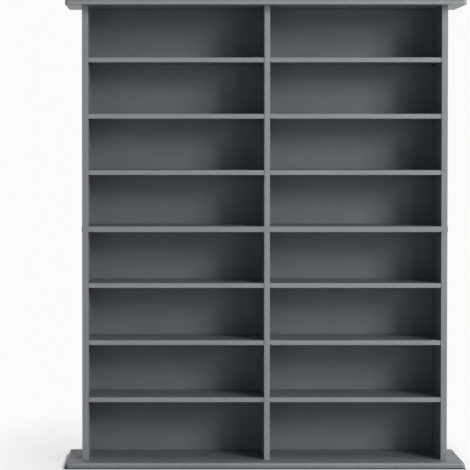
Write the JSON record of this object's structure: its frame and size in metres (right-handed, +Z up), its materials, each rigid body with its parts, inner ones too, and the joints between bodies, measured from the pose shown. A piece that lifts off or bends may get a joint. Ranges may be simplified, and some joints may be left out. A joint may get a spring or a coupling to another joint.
{
  "type": "media storage cabinet",
  "caption": "Wide, shallow open-fronted cabinet of stacked rows for disc and film cases, with moulded top and base boards and loose shelves on steel pins.",
  "frame": {"origin": "on the floor, under the middle of the whole cabinet's box", "axes": "+X to the right seen from the front, +Y towards the wall behind, +Z up; the open front faces -Y"},
  "size_m": [1.105, 0.2158, 1.2954],
  "materials": {
    "grey_paint": "satin slate-grey paint over fibreboard",
    "shelf_paint": "satin slate-grey paint over fibreboard",
    "back_paint": "flat slate-grey paint over hardboard",
    "pin_steel": "dark oxide steel"
  },
  "bodies": {
    "carcass": {"top_board": "grey_paint", "middle_board": "grey_paint", "base_board": "grey_paint", "upper_left_side": "grey_paint", "upper_divider": "grey_paint", "upper_right_side": "grey_paint", "lower_left_side": "grey_paint", "lower_divider": "grey_paint", "lower_right_side": "grey_paint", "upper_back": "back_paint", "lower_back": "back_paint", "upper_left_pin_1_front": "pin_steel", "upper_left_pin_1_rear": "pin_steel", "upper_left_pin_2_front": "pin_steel", "upper_left_pin_2_rear": "pin_steel", "upper_left_pin_3_front": "pin_steel", "upper_left_pin_3_rear": "pin_steel", "upper_divider_pin_1_front": "pin_steel", "upper_divider_pin_1_rear": "pin_steel", "upper_divider_pin_2_front": "pin_steel", "upper_divider_pin_2_rear": "pin_steel", "upper_divider_pin_3_front": "pin_steel", "upper_divider_pin_3_rear": "pin_steel", "upper_right_pin_1_front": "pin_steel", "upper_right_pin_1_rear": "pin_steel", "upper_right_pin_2_front": "pin_steel", "upper_right_pin_2_rear": "pin_steel", "upper_right_pin_3_front": "pin_steel", "upper_right_pin_3_rear": "pin_steel", "lower_left_pin_1_front": "pin_steel", "lower_left_pin_1_rear": "pin_steel", "lower_left_pin_2_front": "pin_steel", "lower_left_pin_2_rear": "pin_steel", "lower_left_pin_3_front": "pin_steel", "lower_left_pin_3_rear": "pin_steel", "lower_divider_pin_1_front": "pin_steel", "lower_divider_pin_1_rear": "pin_steel", "lower_divider_pin_2_front": "pin_steel", "lower_divider_pin_2_rear": "pin_steel", "lower_divider_pin_3_front": "pin_steel", "lower_divider_pin_3_rear": "pin_steel", "lower_right_pin_1_front": "pin_steel", "lower_right_pin_1_rear": "pin_steel", "lower_right_pin_2_front": "pin_steel", "lower_right_pin_2_rear": "pin_steel", "lower_right_pin_3_front": "pin_steel", "lower_right_pin_3_rear": "pin_steel"},
    "upper_left_shelf_1": {"upper_left_shelf_1": "shelf_paint"},
    "upper_left_shelf_2": {"upper_left_shelf_2": "shelf_paint"},
    "upper_left_shelf_3": {"upper_left_shelf_3": "shelf_paint"},
    "upper_right_shelf_1": {"upper_right_shelf_1": "shelf_paint"},
    "upper_right_shelf_2": {"upper_right_shelf_2": "shelf_paint"},
    "upper_right_shelf_3": {"upper_right_shelf_3": "shelf_paint"},
    "lower_left_shelf_1": {"lower_left_shelf_1": "shelf_paint"},
    "lower_left_shelf_2": {"lower_left_shelf_2": "shelf_paint"},
    "lower_left_shelf_3": {"lower_left_shelf_3": "shelf_paint"},
    "lower_right_shelf_1": {"lower_right_shelf_1": "shelf_paint"},
    "lower_right_shelf_2": {"lower_right_shelf_2": "shelf_paint"},
    "lower_right_shelf_3": {"lower_right_shelf_3": "shelf_paint"}
  },
  "joints": [
    {"name": "upper_left_shelf_1_draw_out", "type": "slide", "parent": "carcass", "child": "upper_left_shelf_1", "axis": [0, -1, 0], "range_m": [0, 0.216]},
    {"name": "upper_left_shelf_2_draw_out", "type": "slide", "parent": "carcass", "child": "upper_left_shelf_2", "axis": [0, -1, 0], "range_m": [0, 0.216]},
    {"name": "upper_left_shelf_3_draw_out", "type": "slide", "parent": "carcass", "child": "upper_left_shelf_3", "axis": [0, -1, 0], "range_m": [0, 0.216]},
    {"name": "upper_right_shelf_1_draw_out", "type": "slide", "parent": "carcass", "child": "upper_right_shelf_1", "axis": [0, -1, 0], "range_m": [0, 0.216]},
    {"name": "upper_right_shelf_2_draw_out", "type": "slide", "parent": "carcass", "child": "upper_right_shelf_2", "axis": [0, -1, 0], "range_m": [0, 0.216]},
    {"name": "upper_right_shelf_3_draw_out", "type": "slide", "parent": "carcass", "child": "upper_right_shelf_3", "axis": [0, -1, 0], "range_m": [0, 0.216]},
    {"name": "lower_left_shelf_1_draw_out", "type": "slide", "parent": "carcass", "child": "lower_left_shelf_1", "axis": [0, -1, 0], "range_m": [0, 0.216]},
    {"name": "lower_left_shelf_2_draw_out", "type": "slide", "parent": "carcass", "child": "lower_left_shelf_2", "axis": [0, -1, 0], "range_m": [0, 0.216]},
    {"name": "lower_left_shelf_3_draw_out", "type": "slide", "parent": "carcass", "child": "lower_left_shelf_3", "axis": [0, -1, 0], "range_m": [0, 0.216]},
    {"name": "lower_right_shelf_1_draw_out", "type": "slide", "parent": "carcass", "child": "lower_right_shelf_1", "axis": [0, -1, 0], "range_m": [0, 0.216]},
    {"name": "lower_right_shelf_2_draw_out", "type": "slide", "parent": "carcass", "child": "lower_right_shelf_2", "axis": [0, -1, 0], "range_m": [0, 0.216]},
    {"name": "lower_right_shelf_3_draw_out", "type": "slide", "parent": "carcass", "child": "lower_right_shelf_3", "axis": [0, -1, 0], "range_m": [0, 0.216]}
  ]
}
